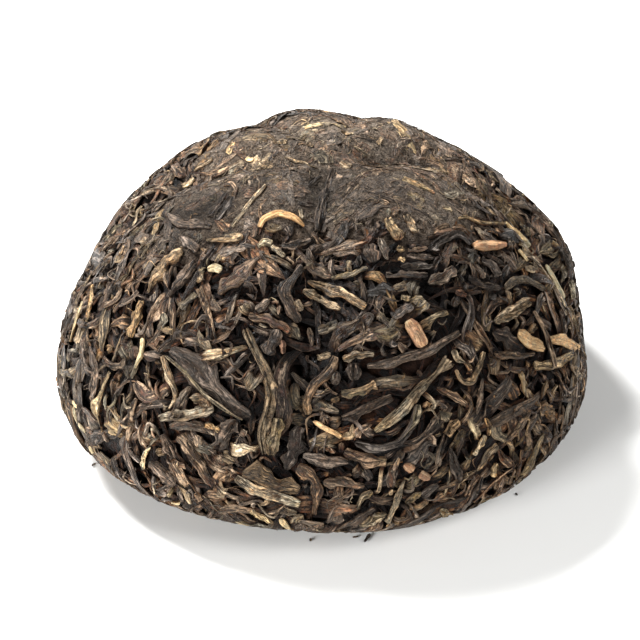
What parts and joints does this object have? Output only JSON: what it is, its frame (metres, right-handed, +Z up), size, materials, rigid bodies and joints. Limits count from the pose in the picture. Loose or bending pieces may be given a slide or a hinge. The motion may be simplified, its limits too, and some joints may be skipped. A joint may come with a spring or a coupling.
{
  "type": "pressed tea nest",
  "caption": "Domed nest of dark pressed tea leaf, creased by its pressing cloth, standing on the ring round its hollow underside.",
  "frame": {"origin": "on the floor, under the middle of the nest's box", "axes": "+Z up through the crown, -Y towards the side that the picture shows, +X to its right"},
  "size_m": [0.105, 0.1044, 0.0566],
  "materials": {
    "tea": "dry twisted leaf, dark brown with olive and tan pieces, matt to faintly waxy"
  },
  "bodies": {
    "root": {"tea_cake": "tea"}
  },
  "joints": []
}
